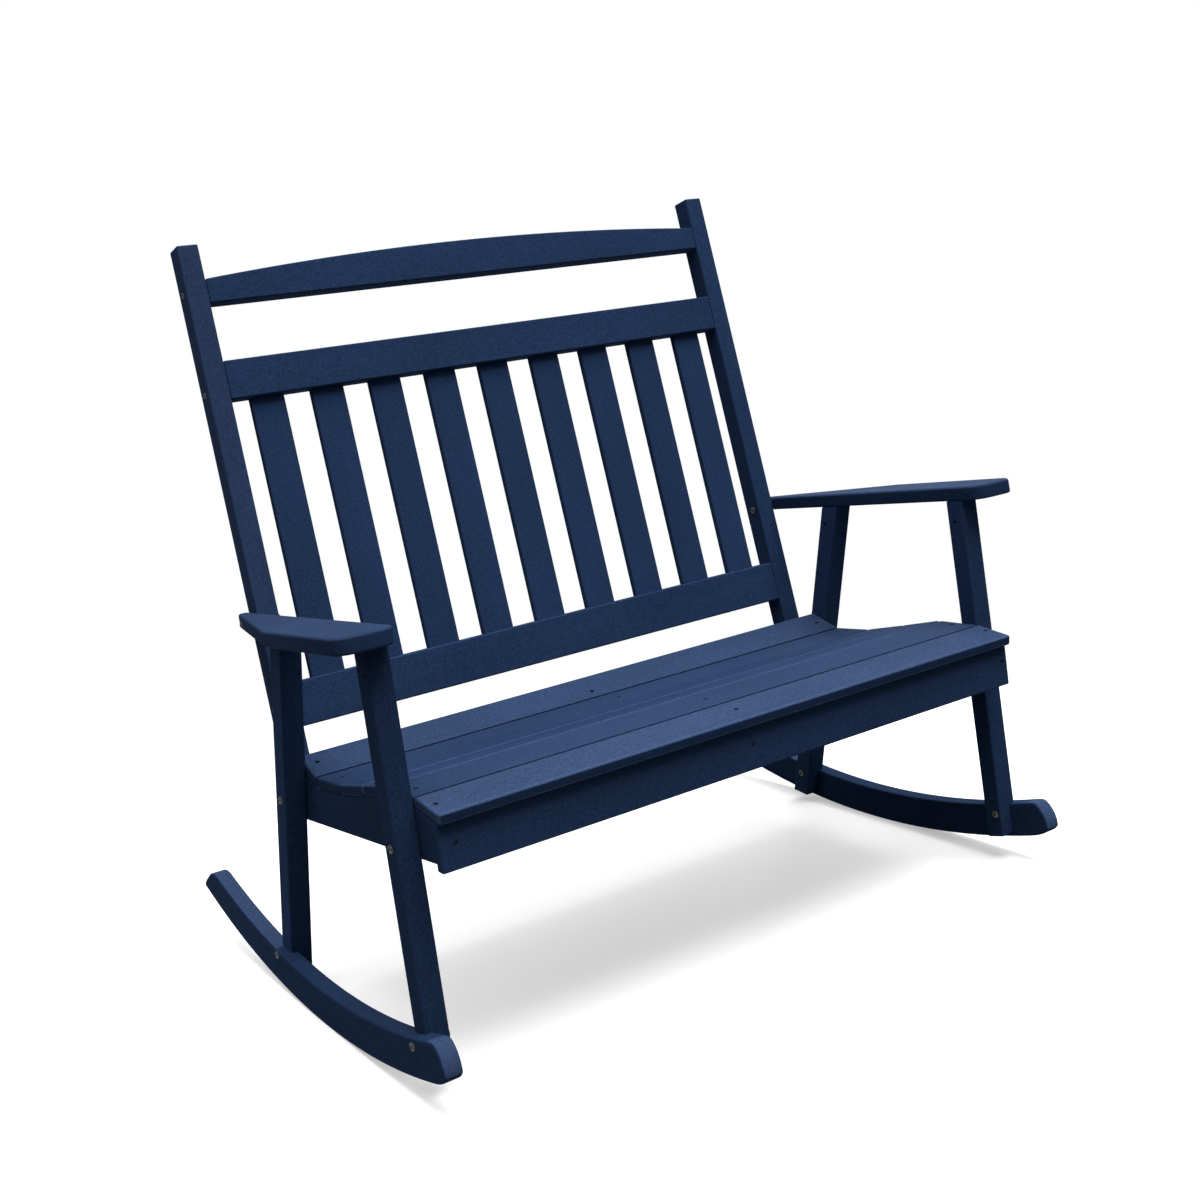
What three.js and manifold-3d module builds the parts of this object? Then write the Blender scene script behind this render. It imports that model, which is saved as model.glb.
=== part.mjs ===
// Double porch rocking bench built from square-edged boards, with a slatted back and curved rockers.
// Millimetres, +Z up, +X across the seat, the sitter looks along -Y. It stands at rest on the floor plane Z = 0.
import * as THREE from 'three';
import { mergeVertices } from 'three/addons/utils/BufferGeometryUtils.js';
import Module from 'manifold-3d';

const wasm = await Module();
wasm.setup();

// Fits shared by the whole bench
const jointGap = 0.3;
const easedEdge = 2.5;
const cutOverrun = 6;
const backWidth = 1056;

// Back: two stiles, three rails and a row of slats
const reclineDegrees = 10.1;
const stileFootHeight = 290.5;
const stileLength = 944;
const stileWidth = 36;
const stileDepth = 41;
const railDepth = 39;
const lowerRailStart = 140;
const lowerRailHeight = 72.5;
const upperRailDrop = 262;
const upperRailHeight = 65;
const topRailDrop = 99.5;
const topRailEndHeight = 41;
const topRailCrown = 22;
const crownSteps = 24;
const slatCount = 9;
const slatEndGap = 35.5;
const slatWidth = 58.6;
const slatThickness = 14;
const slatSetback = 13.3;
const slatTenon = 12;

// Seat: six boards on two shaped side boards, a shaped middle support and a rear rail
const seatRearSetback = 28;
const seatDepth = 505;
const seatLowHeight = 375;
const seatScoop = 41;
const seatDepthShares = [0, 0.136, 0.311, 0.498, 0.683, 0.863, 1];
const seatHeightShares = [0.56, 0, 0.14, 0.55, 0.98, 1, 0.74];
const seatBoardThickness = 17;
const seatBoardGap = 5;
const supportThickness = 36;
const supportRiseDegrees = 4.6;
const rearRailThickness = 36;
const rearRailHeight = 58;
const rearRailInset = 13.2;
const apronThickness = 17;
const apronOverhang = 14;
const apronDrop = 10;

// Arms
const armThickness = 24;
const armWidth = 88;
const armFrontOverhang = 32.2;
const armTailWidth = 16;
const armTaperLength = 321;
const armRearReach = 104;
const armRearHeight = 617.5;
const armRiseDegrees = 3.5;
const armCornerRadius = 28;
const armRounding = 6;
const armRoundingSteps = 3;

// Legs
const legThickness = 36;
const frontLegDepth = 36;
const frontLegSetback = 68;
const frontLegLeanDegrees = -1;
const rearLegDepth = 40;
const rearLegFootReach = -69.7;
const rearLegLeanDegrees = 18.4;
const legFootRise = 6;
const footLap = 23.2;

// Rockers
const rockerRadius = 1699;
const rockerCentreReach = 106;
const rockerDepth = 57;
const rockerThickness = 28;
const rockerTailReach = 434;
const rockerTailSlope = 66;
const rockerTailBulge = 4;
const rockerNoseOverhang = 73;
const rockerNoseSlope = 26;
const rockerNoseBulge = 16;
const rockerBottomSteps = 44;
const rockerTopSteps = 36;
const tipSteps = 8;

// Fasteners
const boltRadius = 3.2;
const boltClearance = 0.3;
const boltHeadRadius = 7;
const boltHeadHeight = 3.6;
const boltHeadSteps = 4;
const rearLegBoltHeight = 335;
const frontLegBoltHeight = 351;
const legBoltGrip = 24;
const rockerBoltDrop = 9;
const railScrewRadius = 2.2;
const railScrewHeadRadius = 5;
const railScrewHeadHeight = 2.4;
const railScrewGrip = 32;
const upperRailScrewRise = 15;
const screwPocketRadius = 4;
const screwPocketDepth = 2.5;
const roundSides = 20;

// Colours as they show in daylight
const boardColour = 0x1d2c49;
const boltColour = 0x9a8467;

const halfWidth = backWidth / 2;
const upperRailStart = stileLength - upperRailDrop;
const topRailStart = stileLength - topRailDrop;
const frontLegFootReach = seatRearSetback + seatDepth - frontLegSetback;
const rockerNoseReach = frontLegFootReach + rockerNoseOverhang;
const recline = THREE.MathUtils.degToRad(reclineDegrees);
const armRise = THREE.MathUtils.degToRad(armRiseDegrees);
const armLength = (armRearReach + frontLegFootReach + armFrontOverhang) / Math.cos(armRise);
const supportRise = THREE.MathUtils.degToRad(supportRiseDegrees);
const legInner = halfWidth + jointGap;
const lapFace = legInner + footLap;
const rockerInner = lapFace + jointGap;
const supportInset = halfWidth - supportThickness / 2;
const lift = new THREE.Matrix4().makeBasis(
  new THREE.Vector3(0, 1, 0), new THREE.Vector3(0, 0, 1), new THREE.Vector3(1, 0, 0));

function closed(geometry) {
  geometry.deleteAttribute('normal');
  geometry.deleteAttribute('uv');
  return mergeVertices(geometry);
}

function toSolid(geometry) {
  const merged = closed(geometry);
  const mesh = new wasm.Mesh({
    numProp: 3,
    vertProperties: new Float32Array(merged.attributes.position.array),
    triVerts: new Uint32Array(merged.index.array),
  });
  return new wasm.Manifold(mesh);
}

function fromSolid(solid) {
  const mesh = solid.getMesh();
  const geometry = new THREE.BufferGeometry();
  geometry.setAttribute('position', new THREE.BufferAttribute(new Float32Array(mesh.vertProperties), 3));
  geometry.setIndex(new THREE.BufferAttribute(new Uint32Array(mesh.triVerts), 1));
  geometry.computeVertexNormals();
  return geometry;
}

function cut(geometry, cutters) {
  let solid = toSolid(geometry);
  for (const cutter of cutters) {
    solid = solid.subtract(toSolid(cutter));
  }
  return fromSolid(solid);
}

function outlineShape(points) {
  return new THREE.Shape(points.map(([u, v]) => new THREE.Vector2(u, v)));
}

// A side profile, given as points of depth and height, made solid from one width to another
function acrossSolid(points, from, to, ease = easedEdge, steps = 1) {
  const geometry = new THREE.ExtrudeGeometry(outlineShape(points), {
    depth: to - from - 2 * ease,
    bevelEnabled: ease > 0,
    bevelThickness: ease,
    bevelSize: ease,
    bevelOffset: -ease,
    bevelSegments: steps,
  });
  geometry.translate(0, 0, from + ease);
  return geometry.applyMatrix4(lift);
}

// A straight board with eased edges, centred, with its length across the bench
function straightBoard(length, depth, height, ease = easedEdge) {
  const y = depth / 2;
  const z = height / 2;
  const outline = [
    [-y + ease, -z], [y - ease, -z], [y, -z + ease], [y, z - ease],
    [y - ease, z], [-y + ease, z], [-y, z - ease], [-y, -z + ease],
  ];
  return acrossSolid(outline, -length / 2, length / 2, ease);
}

function blockCutter(width, depth, height, x, y, z) {
  return new THREE.BoxGeometry(width, depth, height).translate(x, y, z);
}

function crossPin(radius, from, to, y, z) {
  const pin = new THREE.CylinderGeometry(radius, radius, to - from, roundSides);
  pin.rotateZ(-Math.PI / 2);
  return pin.translate((from + to) / 2, y, z);
}

function piece(name, geometry, colour = boardColour, metalness = 0, roughness = 0.6) {
  const material = new THREE.MeshStandardMaterial({ color: colour, roughness, metalness });
  const mesh = new THREE.Mesh(geometry, material);
  mesh.name = name;
  return mesh;
}

// Lines of the side view: where a leg, the arm, the stile and the seat run
function legLine(footReach, leanDegrees, depth) {
  const lean = THREE.MathUtils.degToRad(leanDegrees);
  const up = new THREE.Vector2(-Math.sin(lean), Math.cos(lean));
  const back = new THREE.Vector2(Math.cos(lean), Math.sin(lean));
  const front = new THREE.Vector2(-footReach, 0);
  return { up, back, depth, front, rear: front.clone().addScaledVector(back, depth) };
}

function alongLine(line, start, height) {
  return start.clone().addScaledVector(line.up, (height - start.y) / line.up.y);
}

function legCentre(line, height) {
  const middle = line.front.clone().addScaledVector(line.back, line.depth / 2);
  return alongLine(line, middle, height);
}

const rockerCentre = new THREE.Vector2(-rockerCentreReach, rockerRadius);

function meetArc(line, start, radius) {
  const toStart = start.clone().sub(rockerCentre);
  const b = toStart.dot(line.up);
  const c = toStart.lengthSq() - radius * radius;
  return start.clone().addScaledVector(line.up, -b - Math.sqrt(b * b - c));
}

const armRear = new THREE.Vector2(armRearReach, armRearHeight);
const armForward = new THREE.Vector2(-Math.cos(armRise), Math.sin(armRise));
const armDown = new THREE.Vector2(-Math.sin(armRise), -Math.cos(armRise));

function meetArmUnderside(line, start) {
  const underside = armRear.clone().addScaledVector(armDown, armThickness + jointGap);
  const reach = underside.sub(start).dot(armDown) / line.up.dot(armDown);
  return start.clone().addScaledVector(line.up, reach);
}

function stileFront(height, gap) {
  return (height - stileFootHeight) * Math.tan(recline) - gap / Math.cos(recline);
}

function supportBottom(y) {
  return stileFootHeight - y * Math.tan(supportRise);
}

// Seat profile: the boards' top corners, and each board's place on it
const seatLine = seatDepthShares.map((share, i) => new THREE.Vector2(
  -seatRearSetback - share * seatDepth, seatLowHeight + seatHeightShares[i] * seatScoop));
const seatBoards = seatLine.slice(1).map((frontPoint, i) => {
  const rearPoint = seatLine[i];
  const run = frontPoint.clone().sub(rearPoint);
  const forward = run.clone().normalize();
  const down = new THREE.Vector2(-forward.y, forward.x);
  const rearTrim = i > 0 ? seatBoardGap / 2 : 0;
  const frontTrim = i < seatLine.length - 2 ? seatBoardGap / 2 : 0;
  const width = run.length() - rearTrim - frontTrim;
  const topMiddle = rearPoint.clone().addScaledVector(forward, rearTrim + width / 2);
  return { rearPoint, forward, down, width, topMiddle };
});

function undersidePoint(board, point) {
  return point.clone().addScaledVector(board.down, seatBoardThickness + jointGap);
}

function meetUndersides(first, second, point) {
  const a = undersidePoint(first, point);
  const b = undersidePoint(second, point);
  const across = first.forward.cross(second.forward);
  if (Math.abs(across) < Number.EPSILON) {
    return a;
  }
  const step = b.clone().sub(a).cross(second.forward) / across;
  return a.addScaledVector(first.forward, step);
}

function undersideHeight(board, y) {
  const point = undersidePoint(board, board.rearPoint);
  return point.y + (y - point.x) * board.forward.y / board.forward.x;
}

const bench = new THREE.Group();
const back = new THREE.Group();
back.position.z = stileFootHeight;
back.rotation.x = -recline;
bench.add(back);

// Stiles, each bored for its arm bolt and its rail screws
function railScrewHeights() {
  return [
    lowerRailStart + lowerRailHeight / 2,
    upperRailStart + upperRailScrewRise,
    topRailStart + topRailEndHeight / 2,
  ];
}

const armBoltPoint = (() => {
  const middle = armRear.clone().addScaledVector(armDown, armThickness / 2);
  const stileMiddle = stileDepth / 2 / Math.cos(recline);
  const slope = Math.tan(recline) * Math.tan(armRise);
  const y = (stileMiddle + (middle.y + middle.x * Math.tan(armRise) - stileFootHeight) * Math.tan(recline))
    / (1 + slope);
  return new THREE.Vector2(y, middle.y + (middle.x - y) * Math.tan(armRise));
})();

function inStileFrame(point) {
  const z = point.y - stileFootHeight;
  return new THREE.Vector2(
    point.x * Math.cos(recline) - z * Math.sin(recline), point.x * Math.sin(recline) + z * Math.cos(recline));
}

function makeStile(side) {
  const board = straightBoard(stileWidth, stileDepth, stileLength);
  board.translate(side * (halfWidth - stileWidth / 2), stileDepth / 2, stileLength / 2);
  const inner = side * (halfWidth - stileWidth) - side * cutOverrun;
  const outer = side * halfWidth + side * cutOverrun;
  const [from, to] = [Math.min(inner, outer), Math.max(inner, outer)];
  const bolt = inStileFrame(armBoltPoint);
  const cutters = [crossPin(boltRadius + boltClearance, from, to, bolt.x, bolt.y)];
  for (const height of railScrewHeights()) {
    cutters.push(crossPin(railScrewRadius + boltClearance, from, to, railDepth / 2, height));
  }
  return cut(board, cutters);
}

// Rails between the stiles, mortised for the slat ends and bored for their screws
const railLength = backWidth - 2 * stileWidth - 2 * jointGap;

const slatPitch = (backWidth - 2 * stileWidth - 2 * slatEndGap - slatWidth) / (slatCount - 1);

function slatCentres() {
  return Array.from({ length: slatCount }, (_, i) => (i - (slatCount - 1) / 2) * slatPitch);
}

function slatMortises(height) {
  return slatCentres().map((x) => blockCutter(
    slatWidth + 2 * jointGap, slatThickness + 2 * jointGap, 2 * slatTenon,
    x, slatSetback + slatThickness / 2, height));
}

function railScrewBores(height) {
  const radius = railScrewRadius + boltClearance;
  const inner = railLength / 2 - railScrewGrip - jointGap;
  const outer = railLength / 2 + cutOverrun;
  return [
    crossPin(radius, -outer, -inner, railDepth / 2, height),
    crossPin(radius, inner, outer, railDepth / 2, height),
  ];
}

function makeStraightRail(start, height, mortiseHeight, screwHeight) {
  const rail = straightBoard(railLength, railDepth, height).translate(0, railDepth / 2, start + height / 2);
  return cut(rail, [...slatMortises(mortiseHeight), ...railScrewBores(screwHeight)]);
}

function makeTopRail(screwHeight) {
  const half = railLength / 2;
  const radius = (half * half + topRailCrown * topRailCrown) / (2 * topRailCrown);
  const top = topRailStart + topRailEndHeight;
  const points = [[-half, topRailStart], [half, topRailStart]];
  for (let i = 0; i <= crownSteps; i += 1) {
    const x = half - railLength * i / crownSteps;
    points.push([x, top + topRailCrown - radius + Math.sqrt(radius * radius - x * x)]);
  }
  const rail = new THREE.ExtrudeGeometry(outlineShape(points), {
    depth: railDepth - 2 * easedEdge,
    bevelThickness: easedEdge,
    bevelSize: easedEdge,
    bevelOffset: -easedEdge,
    bevelSegments: 1,
  });
  rail.translate(0, 0, easedEdge).rotateX(Math.PI / 2).translate(0, railDepth, 0);
  return cut(rail, railScrewBores(screwHeight));
}

function makeSlat() {
  const bottom = lowerRailStart + lowerRailHeight - slatTenon + jointGap;
  const top = upperRailStart + slatTenon - jointGap;
  return straightBoard(slatWidth, slatThickness, top - bottom, easedEdge)
    .translate(0, slatSetback + slatThickness / 2, (top + bottom) / 2);
}

// Screws through the stiles into the rails' ends, head outwards
function headProfile(radius, height) {
  return Array.from({ length: boltHeadSteps + 1 }, (_, i) => {
    const turn = (i / boltHeadSteps) * Math.PI / 2;
    return new THREE.Vector2(radius * Math.sin(turn), height * Math.cos(turn));
  });
}

function makeRailScrew(side, height) {
  const profile = headProfile(railScrewHeadRadius, railScrewHeadHeight);
  const tip = -stileWidth - railScrewGrip - jointGap;
  profile.push(new THREE.Vector2(railScrewRadius, 0), new THREE.Vector2(railScrewRadius, tip));
  profile.push(new THREE.Vector2(0, tip));
  const screw = new THREE.LatheGeometry(profile.reverse(), roundSides);
  screw.translate(0, jointGap, 0).rotateZ(-side * Math.PI / 2);
  return screw.translate(side * halfWidth, railDepth / 2, height);
}

for (const [side, label] of [[-1, 'left'], [1, 'right']]) {
  back.add(piece(`stile_${label}`, makeStile(side)));
  railScrewHeights().forEach((height, i) => {
    const name = `rail_screw_${['lower', 'upper', 'top'][i]}_${label}`;
    back.add(piece(name, closed(makeRailScrew(side, height)), boltColour, 1, 0.45));
  });
}
const [lowerScrewHeight, upperScrewHeight, topScrewHeight] = railScrewHeights();
back.add(piece('lower_rail', makeStraightRail(
  lowerRailStart, lowerRailHeight, lowerRailStart + lowerRailHeight, lowerScrewHeight)));
back.add(piece('upper_rail', makeStraightRail(
  upperRailStart, upperRailHeight, upperRailStart, upperScrewHeight)));
back.add(piece('top_rail', makeTopRail(topScrewHeight)));
slatCentres().forEach((x, i) => {
  const slat = piece(`back_slat_${i + 1}`, closed(makeSlat()));
  slat.position.x = x;
  back.add(slat);
});

// Seat boards, each with three screw pockets over the supports
function makeSeatBoard(board) {
  const plank = straightBoard(backWidth, board.width, seatBoardThickness);
  const pocket = new THREE.CylinderGeometry(
    screwPocketRadius, screwPocketRadius, screwPocketDepth + cutOverrun, roundSides);
  pocket.rotateX(Math.PI / 2);
  const height = seatBoardThickness / 2 - screwPocketDepth + (screwPocketDepth + cutOverrun) / 2;
  return cut(plank, [-supportInset, 0, supportInset].map((x) => pocket.clone().translate(x, 0, height)));
}

seatBoards.forEach((board, i) => {
  const mesh = piece(`seat_board_${i + 1}`, makeSeatBoard(board));
  const centre = board.topMiddle.clone().addScaledVector(board.down, seatBoardThickness / 2);
  mesh.position.set(0, centre.x, centre.y);
  mesh.rotation.x = Math.atan2(-board.forward.y, -board.forward.x);
  bench.add(mesh);
});

// Supports below the seat boards: their top edges follow the boards' undersides
const seatFront = seatLine[seatLine.length - 1];
const apronFace = seatFront.x + apronOverhang;
const supportFront = apronFace + apronThickness + jointGap;

function supportTop(first) {
  const points = [];
  for (let i = first; i < seatBoards.length - 1; i += 1) {
    const point = meetUndersides(seatBoards[i], seatBoards[i + 1], seatLine[i + 1]);
    points.push([point.x, point.y]);
  }
  points.push([supportFront, undersideHeight(seatBoards[seatBoards.length - 1], supportFront)]);
  return points;
}

function makeSideBoard(side) {
  const rear = undersidePoint(seatBoards[0], seatLine[0]);
  const bottomRear = stileFront(stileFootHeight, jointGap);
  const outline = [
    [stileFront(rear.y, jointGap), rear.y], [rear.x, rear.y], ...supportTop(0),
    [supportFront, supportBottom(supportFront)], [bottomRear, supportBottom(bottomRear)],
  ];
  const from = side > 0 ? halfWidth - supportThickness : -halfWidth;
  const board = acrossSolid(outline.reverse(), from, from + supportThickness);
  const bores = legs.map(({ line, boltHeight }) => {
    const centre = legCentre(line, boltHeight);
    const inner = side * (halfWidth - legBoltGrip - jointGap);
    const outer = side * (halfWidth + cutOverrun);
    const radius = boltRadius + boltClearance;
    return crossPin(radius, Math.min(inner, outer), Math.max(inner, outer), centre.x, centre.y);
  });
  return cut(board, bores);
}

const rearRailFront = seatLine[1].x + rearRailInset;
const rearRailRear = rearRailFront + rearRailThickness;

function makeRearRail() {
  const half = halfWidth - supportThickness - jointGap;
  const topFront = undersideHeight(seatBoards[0], rearRailFront);
  const topRear = undersideHeight(seatBoards[0], rearRailRear);
  const bottom = topFront - rearRailHeight;
  return acrossSolid([
    [rearRailFront, bottom], [rearRailRear, bottom], [rearRailRear, topRear], [rearRailFront, topFront],
  ], -half, half);
}

function makeMiddleSupport() {
  const rear = rearRailFront - jointGap;
  const bottomRear = supportBottom(rear);
  const outline = [
    [rear, undersideHeight(seatBoards[0], rear)], ...supportTop(0),
    [supportFront, supportBottom(supportFront)], [rear, bottomRear],
  ];
  return acrossSolid(outline.reverse(), -supportThickness / 2, supportThickness / 2);
}

function makeApron() {
  const bottom = supportBottom(supportFront) - apronDrop;
  const frontBoard = seatBoards[seatBoards.length - 1];
  const rear = apronFace + apronThickness;
  const board = acrossSolid([
    [apronFace, bottom], [rear, bottom],
    [rear, undersideHeight(frontBoard, rear)], [apronFace, undersideHeight(frontBoard, apronFace)],
  ], -halfWidth, halfWidth);
  const height = (bottom + undersideHeight(frontBoard, apronFace)) / 2;
  const pocket = new THREE.CylinderGeometry(
    screwPocketRadius, screwPocketRadius, screwPocketDepth + cutOverrun, roundSides);
  pocket.translate(0, apronFace + screwPocketDepth - (screwPocketDepth + cutOverrun) / 2, height);
  return cut(board, [-supportInset, 0, supportInset].map((x) => pocket.clone().translate(x, 0, 0)));
}

// Legs: the inner part of each foot laps down the rocker, the outer part stands on it
const legs = [
  {
    label: 'front',
    line: legLine(frontLegFootReach, frontLegLeanDegrees, frontLegDepth),
    boltHeight: frontLegBoltHeight,
  },
  {
    label: 'rear',
    line: legLine(rearLegFootReach, rearLegLeanDegrees, rearLegDepth),
    boltHeight: rearLegBoltHeight,
  },
];

const rockerTopRadius = rockerRadius - rockerDepth;

function rockerBoltPoint(line) {
  const middle = line.front.clone().addScaledVector(line.back, line.depth / 2);
  return meetArc(line, middle, rockerTopRadius + rockerBoltDrop);
}

function legOutline(line, footRadius) {
  return [meetArc(line, line.front, footRadius), meetArc(line, line.rear, footRadius)];
}

function makeLeg(side, { line, boltHeight }) {
  const foot = legOutline(line, rockerRadius - legFootRise);
  const tops = [meetArmUnderside(line, line.rear), meetArmUnderside(line, line.front)];
  const from = side > 0 ? legInner : -legInner - legThickness;
  const outline = [...foot, ...tops].map((point) => [point.x, point.y]);
  const leg = acrossSolid(outline, from, from + legThickness);

  const shoulder = legOutline(line, rockerTopRadius - jointGap);
  const slope = shoulder[1].clone().sub(shoulder[0]).normalize();
  const low = shoulder[0].clone().addScaledVector(slope, -cutOverrun);
  const high = shoulder[1].clone().addScaledVector(slope, cutOverrun);
  const drop = line.up.clone().multiplyScalar(-2 * rockerDepth);
  const notch = [low.clone().add(drop), high.clone().add(drop), high, low].map((point) => [point.x, point.y]);
  const outer = side * (legInner + legThickness + cutOverrun);
  const notchFrom = Math.min(side * lapFace, outer);
  const notchTo = Math.max(side * lapFace, outer);

  const seatBolt = legCentre(line, boltHeight);
  const footBolt = rockerBoltPoint(line);
  const boreFrom = Math.min(side * (legInner - cutOverrun), outer);
  const boreTo = Math.max(side * (legInner - cutOverrun), outer);
  const radius = boltRadius + boltClearance;
  return cut(leg, [
    acrossSolid(notch, notchFrom, notchTo, 0),
    crossPin(radius, boreFrom, boreTo, seatBolt.x, seatBolt.y),
    crossPin(radius, boreFrom, boreTo, footBolt.x, footBolt.y),
  ]);
}

// Rockers: a bar between two concentric arcs, each end cut at a slant and bulging a little
function onArc(radius, angle) {
  return [rockerCentre.x + radius * Math.sin(angle), rockerCentre.y - radius * Math.cos(angle)];
}

function arcAngle(y, radius) {
  return Math.asin((y - rockerCentre.x) / radius);
}

function endCurve(from, to, bulge) {
  const first = new THREE.Vector2(...from);
  const last = new THREE.Vector2(...to);
  const outward = last.clone().sub(first).rotateAround(new THREE.Vector2(), -Math.PI / 2).normalize();
  return Array.from({ length: tipSteps + 1 }, (_, i) => {
    const turn = Math.PI * i / tipSteps;
    const point = first.clone().lerp(last, (1 - Math.cos(turn)) / 2).addScaledVector(outward, bulge * Math.sin(turn));
    return [point.x, point.y];
  });
}

function makeRocker(side) {
  const noseBottom = arcAngle(-rockerNoseReach, rockerRadius);
  const noseTop = arcAngle(-rockerNoseReach + rockerNoseSlope, rockerTopRadius);
  const tailBottom = arcAngle(rockerTailReach, rockerRadius);
  const tailTop = arcAngle(rockerTailReach - rockerTailSlope, rockerTopRadius);
  const step = (tailBottom - noseBottom) / rockerBottomSteps;
  const points = [];
  for (let i = Math.ceil(noseBottom / step + 1); i * step < tailBottom; i += 1) {
    points.push(onArc(rockerRadius, i * step - step / 2));
  }
  points.push(...endCurve(onArc(rockerRadius, tailBottom), onArc(rockerTopRadius, tailTop), rockerTailBulge));
  for (let i = 1; i < rockerTopSteps; i += 1) {
    points.push(onArc(rockerTopRadius, tailTop + (noseTop - tailTop) * i / rockerTopSteps));
  }
  points.push(...endCurve(onArc(rockerTopRadius, noseTop), onArc(rockerRadius, noseBottom), rockerNoseBulge));
  const from = side > 0 ? rockerInner : -rockerInner - rockerThickness;
  const rocker = acrossSolid(points, from, from + rockerThickness);
  const bores = legs.map(({ line }) => {
    const point = rockerBoltPoint(line);
    return crossPin(boltRadius + boltClearance, from - cutOverrun, from + rockerThickness + cutOverrun,
      point.x, point.y);
  });
  return cut(rocker, bores);
}

// Arms: a board with rounded edges that tapers to a tail beside the stile
function makeArm(side) {
  const r = armCornerRadius;
  const corner = (x, y, fromTurn, toTurn) => Array.from({ length: tipSteps + 1 }, (_, i) => {
    const turn = fromTurn + (toTurn - fromTurn) * i / tipSteps;
    return [x + r * Math.cos(turn), y + r * Math.sin(turn)];
  });
  const outline = [
    ...corner(r, -armLength + r, Math.PI, 1.5 * Math.PI),
    ...corner(armWidth - r, -armLength + r, 1.5 * Math.PI, 2 * Math.PI),
    [armWidth, -armTaperLength], [armTailWidth, 0], [0, 0],
  ];
  const arm = new THREE.ExtrudeGeometry(outlineShape(outline), {
    depth: armThickness - 2 * armRounding,
    bevelThickness: armRounding,
    bevelSize: armRounding,
    bevelOffset: -armRounding,
    bevelSegments: armRoundingSteps,
  });
  arm.translate(0, 0, armRounding - armThickness);
  const fromTail = armBoltPoint.clone().sub(armRear);
  const reach = fromTail.dot(armForward);
  const bore = crossPin(boltRadius + boltClearance, -cutOverrun, armWidth, -reach, -armThickness / 2);
  const solid = cut(arm, [bore]);
  return side > 0 ? solid : mirrored(solid);
}

function mirrored(geometry) {
  const copy = geometry.clone().applyMatrix4(new THREE.Matrix4().makeScale(-1, 1, 1));
  const index = copy.index.array;
  for (let i = 0; i < index.length; i += 3) {
    [index[i + 1], index[i + 2]] = [index[i + 2], index[i + 1]];
  }
  copy.computeVertexNormals();
  return copy;
}

// Bolts: a domed head at X = 0 with its shank towards -X, and a second head where it goes right through
function makeBolt(grip, through) {
  const profile = headProfile(boltHeadRadius, boltHeadHeight).map((p) => p.setY(p.y + jointGap));
  profile.push(new THREE.Vector2(boltRadius, jointGap));
  if (through) {
    const end = -grip - jointGap;
    profile.push(new THREE.Vector2(boltRadius, end));
    for (const p of headProfile(boltHeadRadius, boltHeadHeight).reverse()) {
      profile.push(new THREE.Vector2(p.x, end - p.y));
    }
  } else {
    profile.push(new THREE.Vector2(boltRadius, -grip), new THREE.Vector2(0, -grip));
  }
  const bolt = new THREE.LatheGeometry(profile.reverse(), roundSides);
  return closed(bolt.rotateZ(-Math.PI / 2));
}

function addBolt(name, side, headX, point, grip, through, outward = side) {
  const bolt = piece(name, makeBolt(grip, through), boltColour, 1, 0.45);
  bolt.position.set(side * headX, point.x, point.y);
  bolt.rotation.z = outward > 0 ? 0 : Math.PI;
  bench.add(bolt);
}

bench.add(piece('seat_rear_rail', makeRearRail()));
bench.add(piece('seat_middle_support', makeMiddleSupport()));
bench.add(piece('apron', makeApron()));
for (const [side, label] of [[-1, 'left'], [1, 'right']]) {
  bench.add(piece(`side_board_${label}`, makeSideBoard(side)));
  bench.add(piece(`rocker_${label}`, makeRocker(side)));
  const arm = piece(`arm_${label}`, makeArm(side));
  arm.position.set(side * legInner, armRear.x, armRear.y);
  arm.rotation.x = -armRise;
  bench.add(arm);
  addBolt(`arm_bolt_${label}`, side, halfWidth - stileWidth, armBoltPoint,
    stileWidth + jointGap + armBoltGrip(), true, -side);
  for (const leg of legs) {
    bench.add(piece(`${leg.label}_leg_${label}`, makeLeg(side, leg)));
    const seatBolt = legCentre(leg.line, leg.boltHeight);
    addBolt(`leg_bolt_${leg.label}_${label}`, side, legInner + legThickness, seatBolt,
      legThickness + legBoltGrip, false);
    addBolt(`rocker_bolt_${leg.label}_${label}`, side, rockerInner + rockerThickness,
      rockerBoltPoint(leg.line), rockerThickness + jointGap + footLap, true);
  }
}

// The arm's tail is cut at a slant, so the bolt's far head bears where its inner rim meets the wood
function armBoltGrip() {
  const reach = armBoltPoint.clone().sub(armRear).dot(armForward);
  return armTailWidth + (armWidth - armTailWidth) * (reach + boltHeadRadius) / armTaperLength;
}

// The origin is the middle of the footprint on the floor
bench.updateMatrixWorld(true);
const box = new THREE.Box3().setFromObject(bench, true);
bench.position.y = -(box.min.y + box.max.y) / 2;
bench.position.z = -box.min.z;

export default bench;
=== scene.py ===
import math

import bmesh
import bpy
from mathutils import Matrix, Vector


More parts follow.
